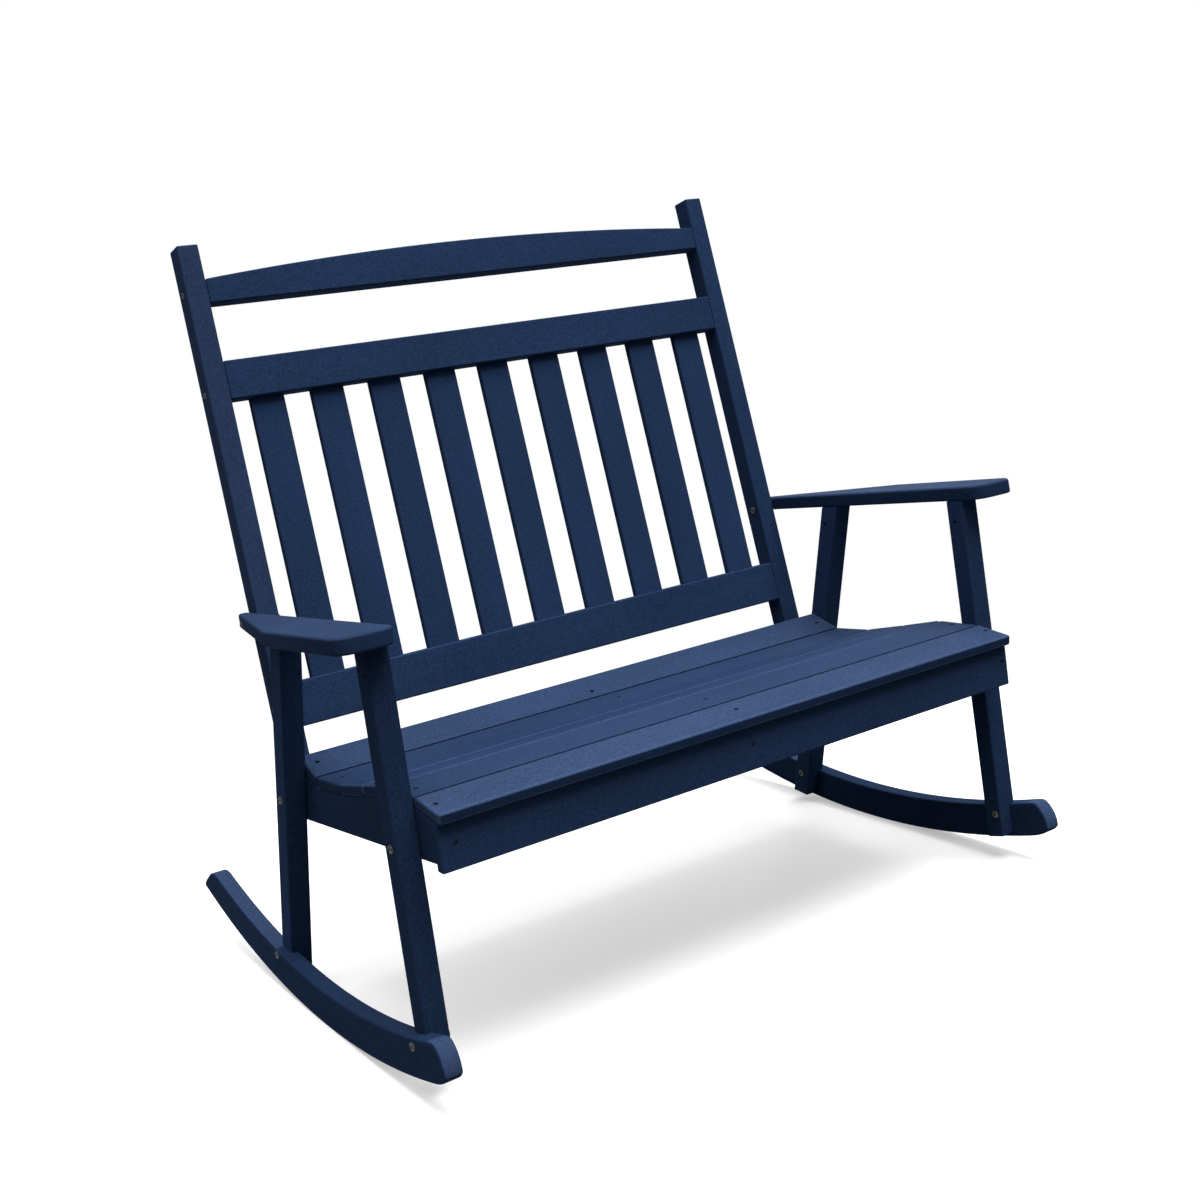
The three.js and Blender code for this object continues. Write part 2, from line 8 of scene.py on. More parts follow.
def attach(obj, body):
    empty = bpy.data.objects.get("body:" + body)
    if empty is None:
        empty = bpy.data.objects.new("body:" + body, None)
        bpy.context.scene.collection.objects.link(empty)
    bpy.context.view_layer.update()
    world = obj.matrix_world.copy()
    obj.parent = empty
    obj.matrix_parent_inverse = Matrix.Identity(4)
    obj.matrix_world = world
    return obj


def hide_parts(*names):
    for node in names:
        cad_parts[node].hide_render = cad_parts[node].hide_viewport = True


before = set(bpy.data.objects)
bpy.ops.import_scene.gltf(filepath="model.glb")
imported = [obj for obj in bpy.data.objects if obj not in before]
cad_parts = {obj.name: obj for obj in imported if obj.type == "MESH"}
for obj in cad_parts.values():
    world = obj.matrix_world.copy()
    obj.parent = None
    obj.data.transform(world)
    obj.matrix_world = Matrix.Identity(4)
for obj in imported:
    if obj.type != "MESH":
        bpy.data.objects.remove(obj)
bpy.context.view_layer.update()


# Studio: the bench stands on a pale floor under soft light, seen from its front left
# corner a little above the seat. The camera also makes up the pitch that the bench
# has in the picture, so its own up isn't quite the floor's.
view_right = Vector((0.836532, -0.531083, -0.134779))
view_up = Vector((0.167434, 0.013557, 0.985790))
view_back = Vector((-0.521709, -0.847211, 0.100263))
view_point = Vector((-1.320445, -2.284888, 1.009012))
floor_half = 40


def added(name, data):
    """A new object in the scene."""
    thing = bpy.data.objects.new(name, data)
    bpy.context.scene.collection.objects.link(thing)
    return thing


def wired(tree, kind, **sources):
    """A new node with each named input wired to its source."""
    made = tree.nodes.new(kind)
    for label, source in sources.items():
        tree.links.new(source, made.inputs[label.replace("_", " ")])
    return made


def worked_out(tree, operation, *terms):
    """The result of a Math node. Each term is a number or a socket to wire in."""
    made = tree.nodes.new("ShaderNodeMath")
    made.operation = operation
    for slot, term in zip(made.inputs, terms):
        if isinstance(term, bpy.types.NodeSocket):
            tree.links.new(term, slot)
        else:
            slot.default_value = term
    return made.outputs["Value"]


def white_rays(tree):
    """One for a ray that meets the white background, whether seen, mirrored or seen through."""
    ray = tree.nodes.new("ShaderNodeLightPath")
    mirrored = worked_out(tree, "ADD", ray.outputs["Is Camera Ray"], ray.outputs["Is Glossy Ray"])
    return worked_out(tree, "ADD", mirrored, ray.outputs["Is Transmission Ray"])


def softbox(name, width, place, aim, power):
    """A square soft light that faces its aim."""
    lamp = added(name, bpy.data.lights.new(name, "AREA"))
    lamp.data.size = width
    lamp.data.energy = power
    lamp.location = place
    lamp.rotation_euler = (Vector(aim) - Vector(place)).to_track_quat("-Z", "Y").to_euler()


camera = added("camera", bpy.data.cameras.new("camera"))
camera.data.sensor_width = 36
camera.data.lens = 46.515
camera.data.shift_x = -0.004405
camera.data.shift_y = -0.102858
camera.matrix_world = Matrix((view_right, view_up, view_back)).transposed().to_4x4()
camera.matrix_world.translation = view_point
bpy.context.scene.camera = camera
bpy.context.scene.view_settings.view_transform = "Standard"

softbox("top_softbox", width=9.0, place=(0.60, -3.70, 12.0), aim=(0, 0, 0.4), power=2230)
softbox("rear_softbox", width=5.0, place=(6.5, 7.5, 4.0), aim=(0, 0, 0.5), power=380)

sky = bpy.data.worlds.new("studio_air")
sky.use_nodes = True
bpy.context.scene.world = sky
air = sky.node_tree
compass = air.nodes.new("ShaderNodeTexCoord")
heights = wired(air, "ShaderNodeSeparateXYZ", Vector=compass.outputs["Generated"])
ceiling = wired(air, "ShaderNodeMapRange", Value=heights.outputs["Z"])
ceiling.inputs["From Min"].default_value = 0.15
ceiling.inputs["To Min"].default_value = 0.04
ceiling.inputs["To Max"].default_value = 1.00
bright = wired(air, "ShaderNodeMix", Factor=white_rays(air), A=ceiling.outputs["Result"])
bright.inputs["B"].default_value = 1
air.nodes["Background"].inputs["Color"].default_value = (1, 1, 1, 1)
air.links.new(bright.outputs["Result"], air.nodes["Background"].inputs["Strength"])

floor_mesh = bpy.data.meshes.new("floor")
floor_corners = ((-1, -1), (1, -1), (1, 1), (-1, 1))
floor_mesh.from_pydata([(x * floor_half, y * floor_half, 0) for x, y in floor_corners], [],
                       [(0, 1, 2, 3)])
floor = added("floor", floor_mesh)
paper = bpy.data.materials.new("pale_paper")
paper.use_nodes = True
sheet = paper.node_tree
bounce = sheet.nodes["Principled BSDF"]
bounce.inputs["Base Color"].default_value = (0.06, 0.06, 0.06, 1)
bounce.inputs["Roughness"].default_value = 0.9
ground = sheet.nodes.new("ShaderNodeTexCoord")
reach = sheet.nodes.new("ShaderNodeVectorMath")
reach.operation = "LENGTH"
sheet.links.new(ground.outputs["Object"], reach.inputs[0])
edge = wired(sheet, "ShaderNodeMapRange", Value=reach.outputs["Value"])
edge.interpolation_type = "SMOOTHSTEP"
edge.inputs["From Min"].default_value = 0.9
edge.inputs["From Max"].default_value = 2.0
lit = sheet.nodes.new("ShaderNodeBsdfDiffuse")
lit.inputs["Color"].default_value = (0.82, 0.82, 0.82, 1)
glow = sheet.nodes.new("ShaderNodeEmission")
glow.inputs["Strength"].default_value = 0.40
backdrop = sheet.nodes.new("ShaderNodeEmission")
near = sheet.nodes.new("ShaderNodeAddShader")
far = wired(sheet, "ShaderNodeMixShader", Fac=edge.outputs["Result"])
shown = wired(sheet, "ShaderNodeMixShader", Fac=white_rays(sheet))
for source, mixer, slot in ((lit, near, 0), (glow, near, 1), (near, far, 1), (backdrop, far, 2),
                            (bounce, shown, 1), (far, shown, 2)):
    sheet.links.new(source.outputs[0], mixer.inputs[slot])
sheet.links.new(shown.outputs[0], sheet.nodes["Material Output"].inputs["Surface"])
floor_mesh.materials.append(paper)


# Stiles: the two long posts of the back, square boards of navy plastic lumber with an
# embossed grain along their length. They are sawn to length, rounded over with a
# router on every edge, and lean back beyond the seat.
quarter_turn = math.radians(90)
recline = math.radians(10.1)
back_foot = (0, 0.05516, 0.29046)
back_place = Matrix.Translation(back_foot) @ Matrix.Rotation(-recline, 4, "X")
across_depth = Matrix(((1, 0, 0, 0), (0, 0, 1, 0), (0, 1, 0, 0), (0, 0, 0, 1)))
bench_half = 0.528
stile_width = 0.036
stile_depth = 0.041
stile_length = 0.944
router_rounding = 0.0028
corner_rounding_share = 0.6
least_corner = math.radians(32)
crease = math.radians(38)
fibre_share = 0.4
dark_navy = (0.0096, 0.0222, 0.0580)
pale_navy = (0.0216, 0.0460, 0.1090)


# Paler scales a lumber's colour and greyed takes out some of its saturation. The script uses them
# for painted light, painted shade and painted sheen, and on the rockers' sawn ends also for the
# paler core of sawn lumber.
def lumber(name, turn, paler=1, greyed=0):
    """Navy plastic lumber. The turn brings the board's length onto the pattern's own x."""
    material = bpy.data.materials.new(name)
    material.use_nodes = True
    tree = material.node_tree

    def noise(detail, spread):
        stretch = wired(tree, "ShaderNodeMapping", Vector=along.outputs["Vector"])
        stretch.inputs["Scale"].default_value = spread
        made = wired(tree, "ShaderNodeTexNoise", Vector=stretch.outputs["Vector"])
        made.inputs["Scale"].default_value = 1
        made.inputs["Detail"].default_value = detail
        return made.outputs["Fac"]

    def ranged(value, low, high, to_low=0, to_high=1):
        made = wired(tree, "ShaderNodeMapRange", Value=value)
        for key, number in (("From Min", low), ("From Max", high),
                            ("To Min", to_low), ("To Max", to_high)):
            made.inputs[key].default_value = number
        return made.outputs["Result"]

    place = tree.nodes.new("ShaderNodeTexCoord")
    along = wired(tree, "ShaderNodeMapping", Vector=place.outputs["Object"])
    along.inputs["Rotation"].default_value = turn
    fibres = noise(detail=4, spread=(70, 420, 420))
    pores = noise(detail=4, spread=(250, 470, 470))
    clouds = noise(detail=2, spread=(3, 9, 9))

    tone = wired(tree, "ShaderNodeMix", Factor=ranged(pores, low=0.25, high=0.75))
    tone.data_type = "RGBA"
    tone.inputs["A"].default_value = (*(part * paler for part in dark_navy), 1)
    tone.inputs["B"].default_value = (*(part * paler for part in pale_navy), 1)
    shade = wired(tree, "ShaderNodeHueSaturation", Color=tone.outputs["Result"],
                  Value=ranged(clouds, low=0.3, high=0.7, to_low=0.90, to_high=1.10))
    shade.inputs["Saturation"].default_value = 1 - greyed

    grain = worked_out(tree, "MULTIPLY_ADD", fibres, fibre_share, pores)
    relief = wired(tree, "ShaderNodeBump", Height=grain)
    relief.inputs["Strength"].default_value = 0.42
    relief.inputs["Distance"].default_value = 0.0006

    shader = tree.nodes["Principled BSDF"]
    shader.inputs["Specular IOR Level"].default_value = 0.02
    tree.links.new(shade.outputs["Color"], shader.inputs["Base Color"])
    dulled = ranged(pores, low=0.3, high=0.7, to_low=0.84, to_high=0.96)
    tree.links.new(dulled, shader.inputs["Roughness"])
    tree.links.new(relief.outputs["Normal"], shader.inputs["Normal"])
    return material


def shaped(name, bm):
    """An object with the mesh that was drawn in bm."""
    mesh = bpy.data.meshes.new(name)
    bm.to_mesh(mesh)
    bm.free()
    return added(name, mesh)


def plain(piece):
    """Bakes a piece's modifiers into its mesh."""
    seen = piece.evaluated_get(bpy.context.evaluated_depsgraph_get())
    mesh = bpy.data.meshes.new_from_object(seen)
    mesh.name = piece.name
    piece.modifiers.clear()
    piece.data = mesh
    return piece


def smoothed(piece):
    """Shades the rounded edges of a piece smooth and keeps its broad faces flat."""
    piece.data.shade_smooth()
    piece.data.set_sharp_from_angle(angle=crease)
    piece.modifiers.new("flat_faces", "WEIGHTED_NORMAL").keep_sharp = True
    return plain(piece)


def board(name, outline, thickness, place, rounding=router_rounding, under=1, crisp=(), cutters=()):
    """A board sawn to an outline (u, v) and thick along w, then rounded over and bored.

    The lower rim takes the given share of the rounding, and the sides that start at a
    crisp point of the outline, where another board bears on them, keep sharp edges.
    """
    bm = bmesh.new()
    weight = bm.edges.layers.float.new("bevel_weight_edge")
    points = [Vector(point) for point in outline]
    count = len(points)
    low = [bm.verts.new((u, v, 0)) for u, v in outline]
    high = [bm.verts.new((u, v, thickness)) for u, v in outline]
    bm.faces.new(low)
    bm.faces.new(high)
    for i in range(count):
        j = (i + 1) % count
        side = bm.faces.new((low[i], low[j], high[j], high[i]))
        lower_rim, _, upper_rim, corner = side.edges
        if i not in crisp:
            lower_rim[weight] = under
            upper_rim[weight] = 1
        turn = (points[j] - points[i]).angle(points[i] - points[i - 1])
        if turn > least_corner and not {i, (i - 1) % count} & set(crisp):
            corner[weight] = max(under, corner_rounding_share)
    bm.transform(place)
    bmesh.ops.recalc_face_normals(bm, faces=bm.faces)
    piece = shaped(name, bm)
    piece.data.materials.append(None)
    piece.data.materials.append(None)
    if not rounding:
        return piece
    edges = piece.modifiers.new("rounded_edges", "BEVEL")
    edges.width = rounding
    edges.segments = 4
    edges.limit_method = "WEIGHT"
    edges.material = 1
    edges.use_clamp_overlap = False
    for cutter in cutters:
        bore = piece.modifiers.new("cut", "BOOLEAN")
        bore.operation = "DIFFERENCE"
        bore.solver = "EXACT"
        bore.object = cutter
    plain(piece)
    for cutter in cutters:
        bpy.data.objects.remove(cutter)
    return smoothed(piece)


def finished(piece, face, edge=None):
    """The finish of a board's faces, and of its routed edges where that differs."""
    piece.data.materials[0] = face
    piece.data.materials[1] = edge or face


def rectangle(width, height, u=0, v=0):
    """The outline of a straight board, centred on u and standing on v."""
    return [(u - width / 2, v), (u + width / 2, v), (u + width / 2, v + height),
            (u - width / 2, v + height)]


upright = lumber("navy_lumber_upright", (recline, quarter_turn, 0))
# The left stile is painted paler and greyer than the right one: a painted sheen.
stile_painted_sheen = lumber("navy_lumber_stile_left", (recline, quarter_turn, 0), paler=1.12, greyed=0.06)

for side, label in ((-1, "left"), (1, "right")):
    post = rectangle(stile_width, stile_length, side * (bench_half - stile_width / 2))
    stile = board(f"stile_board_{label}", post, stile_depth, back_place @ across_depth)
    finished(stile, stile_painted_sheen if side < 0 else upright)
    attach(stile, "root")
    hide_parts(f"stile_{label}")


# Slat rails: two straight boards between the stiles, of the same lumber, with a row of
# mortises that take the slats' ends. They are screwed on through the stiles.
rail_half = 0.4917
rail_depth = 0.039
slat_count = 9
slat_pitch = 0.1068
slat_width = 0.0586
slat_thickness = 0.014
slat_setback = 0.0133
slat_middle = slat_setback + slat_thickness / 2
mortise_depth = 0.012
mortise_ease = 0.0003
slat_rails = (("lower", 0.140, 0.0725, 0.2125), ("upper", 0.682, 0.065, 0.682))


def mortises(height):
    """Every mortise of one rail as one cutter, centred on the rail's edge at this height."""
    bm = bmesh.new()
    size = (slat_width + 2 * mortise_ease, slat_thickness + 2 * mortise_ease, 2 * mortise_depth, 1)
    for i in range(slat_count):
        x = (i - (slat_count - 1) / 2) * slat_pitch
        spot = Matrix.Translation((x, slat_middle, height))
        bmesh.ops.create_cube(bm, size=1, matrix=back_place @ spot @ Matrix.Diagonal(size))
    return shaped("mortises", bm)


level = lumber("navy_lumber_level", (recline, 0, 0))

for label, start, height, mortised_edge in slat_rails:
    rail = board(f"{label}_rail_board", rectangle(2 * rail_half, height, 0, start), rail_depth,
                 back_place @ across_depth, cutters=[mortises(mortised_edge)])
    finished(rail, level)
    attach(rail, "root")
    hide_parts(f"{label}_rail")


# Top rail: a board of the same lumber with a straight lower edge and a shallow arched
# upper edge, bandsawn to the curve and rounded over. It is screwed between the stiles.
top_rail_start = 0.8445
top_rail_end_height = 0.041
top_rail_crown = 0.022
crown_steps = 48
crown_radius = (rail_half ** 2 + top_rail_crown ** 2) / (2 * top_rail_crown)

top_rail_outline = [(-rail_half, top_rail_start), (rail_half, top_rail_start)]
for i in range(crown_steps + 1):
    x = rail_half * (1 - 2 * i / crown_steps)
    rise = top_rail_crown - crown_radius + math.sqrt(crown_radius ** 2 - x ** 2)
    top_rail_outline.append((x, top_rail_start + top_rail_end_height + rise))
top_rail = board("top_rail_board", top_rail_outline, rail_depth, back_place @ across_depth)
finished(top_rail, level)
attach(top_rail, "root")
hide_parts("top_rail")


# Back slats: nine thin flat boards of the same lumber with rounded long edges, evenly
# spaced and held at both ends in the rails' mortises. One board is drawn and set out
# along the row.
slat_bottom = 0.2008
slat_top = 0.6937


def tree_with(name, sizes):
    """An empty node tree with its named inputs, each given as (name, socket kind)."""
    tree = bpy.data.node_groups.new(name, "GeometryNodeTree")
    sockets = {}
    for label, kind in sizes:
        socket = tree.interface.new_socket(label, in_out="INPUT", socket_type=kind)
        sockets[label] = socket.identifier
    tree.interface.new_socket("Geometry", in_out="OUTPUT", socket_type="NodeSocketGeometry")
    return tree, sockets, tree.nodes.new("NodeGroupInput").outputs


def made_real(tree, instances, finish):
    """Ends a tree by making its copies real and giving them their finish."""
    real = wired(tree, "GeometryNodeRealizeInstances", Geometry=instances)
    done = wired(tree, "GeometryNodeSetMaterial", Geometry=real.outputs["Geometry"],
                 Material=finish)
    wired(tree, "NodeGroupOutput", Geometry=done.outputs["Geometry"])


def slat_row_tree():
    """One slat drawn from its section and copied along the row."""
    tree, sockets, given = tree_with("slat_row", (
        ("Count", "NodeSocketInt"), ("Pitch", "NodeSocketFloat"), ("Width", "NodeSocketFloat"),
        ("Thickness", "NodeSocketFloat"), ("Bottom", "NodeSocketFloat"),
        ("Top", "NodeSocketFloat"), ("Rounding", "NodeSocketFloat"),
        ("Finish", "NodeSocketMaterial")))
    section = wired(tree, "GeometryNodeCurvePrimitiveQuadrilateral", Width=given["Width"],
                    Height=given["Thickness"])
    eased = wired(tree, "GeometryNodeFilletCurve", Curve=section.outputs["Curve"],
                  Radius=given["Rounding"])
    eased.mode = "POLY"
    eased.inputs["Count"].default_value = 4
    start = wired(tree, "ShaderNodeCombineXYZ", Z=given["Bottom"])
    end = wired(tree, "ShaderNodeCombineXYZ", Z=given["Top"])
    length = wired(tree, "GeometryNodeCurvePrimitiveLine", Start=start.outputs["Vector"],
                   End=end.outputs["Vector"])
    slat = wired(tree, "GeometryNodeCurveToMesh", Curve=length.outputs["Curve"],
                 Profile_Curve=eased.outputs["Curve"])
    slat.inputs["Fill Caps"].default_value = True
    half_row = worked_out(tree, "MULTIPLY_ADD", given["Count"], -0.5, 0.5)
    first = worked_out(tree, "MULTIPLY", half_row, given["Pitch"])
    row_start = wired(tree, "ShaderNodeCombineXYZ", X=first)
    row_step = wired(tree, "ShaderNodeCombineXYZ", X=given["Pitch"])
    row = wired(tree, "GeometryNodeMeshLine", Count=given["Count"],
                Start_Location=row_start.outputs["Vector"], Offset=row_step.outputs["Vector"])
    set_out = wired(tree, "GeometryNodeInstanceOnPoints", Points=row.outputs["Mesh"],
                    Instance=slat.outputs["Mesh"])
    made_real(tree, set_out.outputs["Instances"], given["Finish"])
    return tree, sockets


def made_by(piece, tree, sockets, **sizes):
    """Runs a node tree on a piece and bakes the result into its mesh."""
    maker = piece.modifiers.new(tree.name, "NODES")
    maker.node_group = tree
    for label, value in sizes.items():
        maker[sockets[label]] = value
    return plain(piece)


slats = added("back_slats", bpy.data.meshes.new("back_slats"))
made_by(slats, *slat_row_tree(), Count=slat_count, Pitch=slat_pitch, Width=slat_width,
        Thickness=slat_thickness, Bottom=slat_bottom, Top=slat_top, Rounding=router_rounding,
        Finish=upright)
slats.data.transform(back_place @ Matrix.Translation((0, slat_middle, 0)))
smoothed(slats)
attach(slats, "root")
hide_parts(*(f"back_slat_{i}" for i in range(1, 10)))


# Seat frame: two side boards and a middle support, their upper edges sawn to the curve
# the seat lies on, and a cross rail that ties them at the rear. Same lumber. The rail is
# held by two sunk screws through each side board.
pocket_radius = 0.0038
pocket_depth = 0.0025
screw_seats = []
frame_thickness = 0.036
tie_screws = ((-0.0124, 0.3519), (-0.0124, 0.3223))
across_width = Matrix(((0, 0, 1, 0), (1, 0, 0, 0), (0, 1, 0, 0), (0, 0, 0, 1)))
seat_curve = [(-0.03926, 0.35748), (-0.13198, 0.36350), (-0.22745, 0.38050), (-0.31945, 0.39786),
              (-0.40741, 0.39865), (-0.44654, 0.39262), (-0.44654, 0.33083)]
side_outline = [(0.07107, 0.38152), (0.03264, 0.38152)] + seat_curve + [(0.05485, 0.29049)]
middle_outline = [(-0.02862, 0.36103)] + seat_curve + [(-0.02862, 0.29720)]
tie_outline = [(-0.02832, 0.30313), (0.00768, 0.30313), (0.00768, 0.37317), (-0.02832, 0.36113)]

grain_rise = math.radians(4)
front_to_back = (grain_rise, 0, -quarter_turn)
forward = lumber("navy_lumber_forward", front_to_back)


def sunk(places):
    """Notes the screw that goes in each pocket, and gives back one cutter for them all.

    Each place has its z out of the board.
    """
    if not places:
        return []
    bm = bmesh.new()
    for place in places:
        outward = place.to_3x3() @ Vector((0, 0, 1))
        screw_seats.append((place.translation - outward * pocket_depth, outward))
        bmesh.ops.create_cone(bm, cap_ends=True, segments=24, radius1=pocket_radius,
                              radius2=pocket_radius, depth=2 * pocket_depth, matrix=place)
    return [shaped("pockets", bm)]


def sideways(x, side, spots):
    """Places on a face square to the bench's width, with their z out of it."""
    facing = Matrix.Rotation(side * quarter_turn, 4, "Y")
    return [Matrix.Translation((x, y, z)) @ facing for y, z in spots]


for label, node, outline, start, thickness, side, finish in (
        ("side_board_left_sawn", "side_board_left", side_outline,
         -bench_half, frame_thickness, -1, forward),
        ("side_board_right_sawn", "side_board_right", side_outline,
         bench_half - frame_thickness, frame_thickness, 1, forward),
        ("middle_support_sawn", "seat_middle_support", middle_outline,
         -frame_thickness / 2, frame_thickness, 0, forward),
        ("rear_tie", "seat_rear_rail", tie_outline, -rail_half, 2 * rail_half, 0, level)):
    bored = sunk(sideways(side * bench_half, side, tie_screws)) if side else []
    timber = board(label, outline, thickness, Matrix.Translation((start, 0, 0)) @ across_width,
                   cutters=bored)
    finished(timber, finish)
    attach(timber, "root")
    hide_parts(node)


# Seat boards: six boards of the same lumber, laid on the curve with narrow gaps. Each is
# bored with a shallow pocket over every support, and screwed down through it. Each board's
# colour is painted paler and greyer by its own amount: painted light and sheen on the tops
# that catch the most light.
seat_thickness = 0.017
seat_laid = ((-0.00600, 0.38684, 0.06992, 18.485), (-0.08571, 0.37783, 0.08356, -3.716),
             (-0.17711, 0.38911, 0.09092, -10.093), (-0.27104, 0.40633, 0.09007, -10.686),
             (-0.36321, 0.41555, 0.08590, -0.517), (-0.44448, 0.41044, 0.06750, 8.759))
screw_lines = (((-0.5085, 0.004), (-0.0117, -0.016), (0.5050, -0.001)),
               ((-0.5035, -0.001), (0.0005, 0), (0.5100, 0)),
               ((-0.5100, 0), (-0.0120, -0.018), (0.5100, 0)),
               ((-0.5100, 0), (-0.0090, 0), (0.5100, 0)),
               ((-0.5090, -0.008), (-0.0118, 0.001), (0.5100, 0)),
               ((-0.5150, 0), (-0.0135, 0.004), (0.5150, 0.009)))
# Painted light and painted sheen: how much paler and how much greyer each board is painted.
board_painted_light = (1.14, 0.98, 1, 1.01, 1.11, 1.36)
board_painted_sheen = (0.08, 0.03, 0, 0, 0.045, 0.1)
seat_rounding = (0.004, 0.004, 0.003, 0.003, 0.004, 0.004)
sawn_sides = {1: (0,), 2: (2,), 5: (0,), 6: (2,)}
nearly_square = 0.95
unturned = (0, 0, 0)
# Painted highlights: the routed edges of the third and fourth boards and the front edge of the
# front board are painted paler in place of the highlights they catch. The front face of the front
# board is painted darker, a painted shade.
routed = lumber("navy_lumber_routed_edge", unturned, paler=1.45, greyed=0.1)
front_edge_painted_highlight = lumber("navy_lumber_front_edge", unturned, paler=1.68, greyed=0.1)
front_face_painted_shade = lumber("navy_lumber_front_face", unturned, paler=0.76)
painted_highlight_edges = {3: routed, 4: routed, 6: front_edge_painted_highlight}


def faced(piece, finish, chosen):
    """Gives the faces that the test picks out a finish of their own."""
    piece.data.materials.append(finish)
    for face in piece.data.polygons:
        if chosen(face):
            face.material_index = len(piece.data.materials) - 1


for i, (y, z, depth, tilt) in enumerate(seat_laid, 1):
    laid = Matrix.Translation((0, y, z)) @ Matrix.Rotation(math.radians(tilt), 4, "X")
    spots = [laid @ Matrix.Translation((x, v, 0)) for x, v in screw_lines[i - 1]]
    plank = board(f"seat_plank_{i}", rectangle(2 * bench_half, depth, 0, -depth / 2),
                  seat_thickness, laid @ Matrix.Translation((0, 0, -seat_thickness)),
                  seat_rounding[i - 1], crisp=sawn_sides.get(i, ()), cutters=sunk(spots))
    finish = lumber(f"navy_lumber_seat_{i}", (math.radians(-tilt), 0, 0), board_painted_light[i - 1],
                    board_painted_sheen[i - 1])
    finished(plank, finish, painted_highlight_edges.get(i))
    # The front board's front face gets the painted shade.
    if i == len(seat_laid):
        faced(plank, front_face_painted_shade, lambda face: face.normal.y < -nearly_square)
    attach(plank, "root")
    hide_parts(f"seat_board_{i}")


# Apron: the front board, of the same lumber, that hides the seat frame. It hangs a little
# below the side boards, tucks in behind the front seat board's edge, and is screwed to
# all three supports.
apron_front = -0.46384
apron_rear = -0.44684
apron_bottom = 0.32083
apron_outline = [(apron_front, apron_bottom), (apron_rear, apron_bottom), (apron_rear, 0.39258),
                 (apron_front, 0.38996)]
apron_screws = ((-0.504, 0.3585), (-0.008, 0.3593), (0.516, 0.3615))
apron_spots = [Matrix.Translation((x, apron_front, z)) @ Matrix.Rotation(quarter_turn, 4, "X")
               for x, z in apron_screws]
apron = board("apron_board", apron_outline, 2 * bench_half,
              Matrix.Translation((-bench_half, 0, 0)) @ across_width, cutters=sunk(apron_spots))
finished(apron, level)
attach(apron, "root")
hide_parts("apron")


# Legs: four stout boards of the same lumber, bolted on outside the seat frame. Each foot
# is notched, so its inner part laps down the rocker and its outer part stands on it. Sunk
# screws go up at a slant through the top of each leg into the arm.
leg_inner = 0.5283
leg_thickness = 0.036
leg_rounding = 0.003
front_leg_lean = math.radians(1)
rear_leg_lean = math.radians(-18.4)
lap_face = 0.5515
notch_overrun = 0.006
notch_reach = leg_inner + leg_thickness + notch_overrun
front_leg = [(-0.40907, 0.04422), (-0.37319, 0.03687), (-0.36292, 0.62505), (-0.39889, 0.62725)]
rear_leg = [(0.11995, 0.01471), (0.16057, 0.01935), (-0.03424, 0.60495), (-0.07727, 0.60758)]
front_notch = [(-0.41403, 0.09784), (-0.36640, 0.08780), (-0.38000, -0.03000),
               (-0.43000, -0.02000)]
rear_notch = [(0.09740, 0.06388), (0.15007, 0.06952), (0.19000, -0.03000), (0.13500, -0.03500)]
toe_screws = {"front": ((-1, -0.3795, 0.5910), (1, -0.3900, 0.5885)),
              "rear": ((-1, -0.0385, 0.5740),)}

# The left front leg is painted darker than the right one: a painted shade.
front_leg_shading = {side: lumber(f"navy_lumber_front_leg_{label}",
                               (front_leg_lean, quarter_turn, 0), paler=tone)
                  for side, label, tone in ((-1, "left", 0.87), (1, "right", 1))}
# The rear legs are painted paler, a painted light that makes up for the light their faces lose
# under the arms and seat.
rear_leg_painted_light = lumber("navy_lumber_rear_leg", (rear_leg_lean, quarter_turn, 0), paler=1.25)

for side, label in ((-1, "left"), (1, "right")):
    inner = leg_inner if side > 0 else -leg_inner - leg_thickness
    lap = lap_face if side > 0 else -notch_reach
    for kind, outline, notch, finish in (
            ("front", front_leg, front_notch, front_leg_shading[side]),
            ("rear", rear_leg, rear_notch, rear_leg_painted_light)):
        saw_cut = board("notch", notch, notch_reach - lap_face,
                        Matrix.Translation((lap, 0, 0)) @ across_width, rounding=0)
        toe_spots = []
        for way, y, z in toe_screws[kind]:
            face = side * (leg_inner + (leg_thickness if way > 0 else 0))
            toe_spots += sideways(face, side * way, [(y, z)])
        leg = board(f"{kind}_leg_sawn_{label}", outline, leg_thickness,
                    Matrix.Translation((inner, 0, 0)) @ across_width, leg_rounding, crisp=(2,),
                    cutters=[saw_cut] + sunk(toe_spots))
        finished(leg, finish)
        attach(leg, "root")
        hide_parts(f"{kind}_leg_{label}")


# Rockers: two bars bandsawn from wide lumber between two arcs about one centre. The tail
# is cut at a long slant and the nose bulges, and the rims are rounded over. Their sawn
# ends and the top of the tail are painted paler and greyer: partly the paler core of sawn
# lumber, partly a painted highlight where they face the light. The reaches are counted
# from the stiles' foot.
rocker_centre = (-0.05084, 1.69896)
rocker_radius = 1.699
rocker_depth = 0.057
rocker_inner = 0.5518
rocker_thickness = 0.028
rocker_rounding = 0.003
tail_reach, tail_slope, tail_bulge = 0.438, 0.066, 0.004
nose_reach, nose_slope, nose_bulge = 0.538, 0.026, 0.016
sole_steps = 80
deck_steps = 72
paler_nose_end = -0.44
paler_tail_start = 0.13
mostly_across = 0.5


def on_arc(radius, angle):
    """The point (y, z) at this angle from straight below the rockers' centre."""
    return Vector((rocker_centre[0] + radius * math.sin(angle),
                   rocker_centre[1] - radius * math.cos(angle)))


def arc_angle(y, radius):
    """The angle at which an arc is this far behind the stiles' foot."""
    return math.asin((y + back_foot[1] - rocker_centre[0]) / radius)


def arc_between(radius, first, last, steps):
    """The points of an arc without its two ends."""
    return [on_arc(radius, first + (last - first) * i / steps) for i in range(1, steps)]


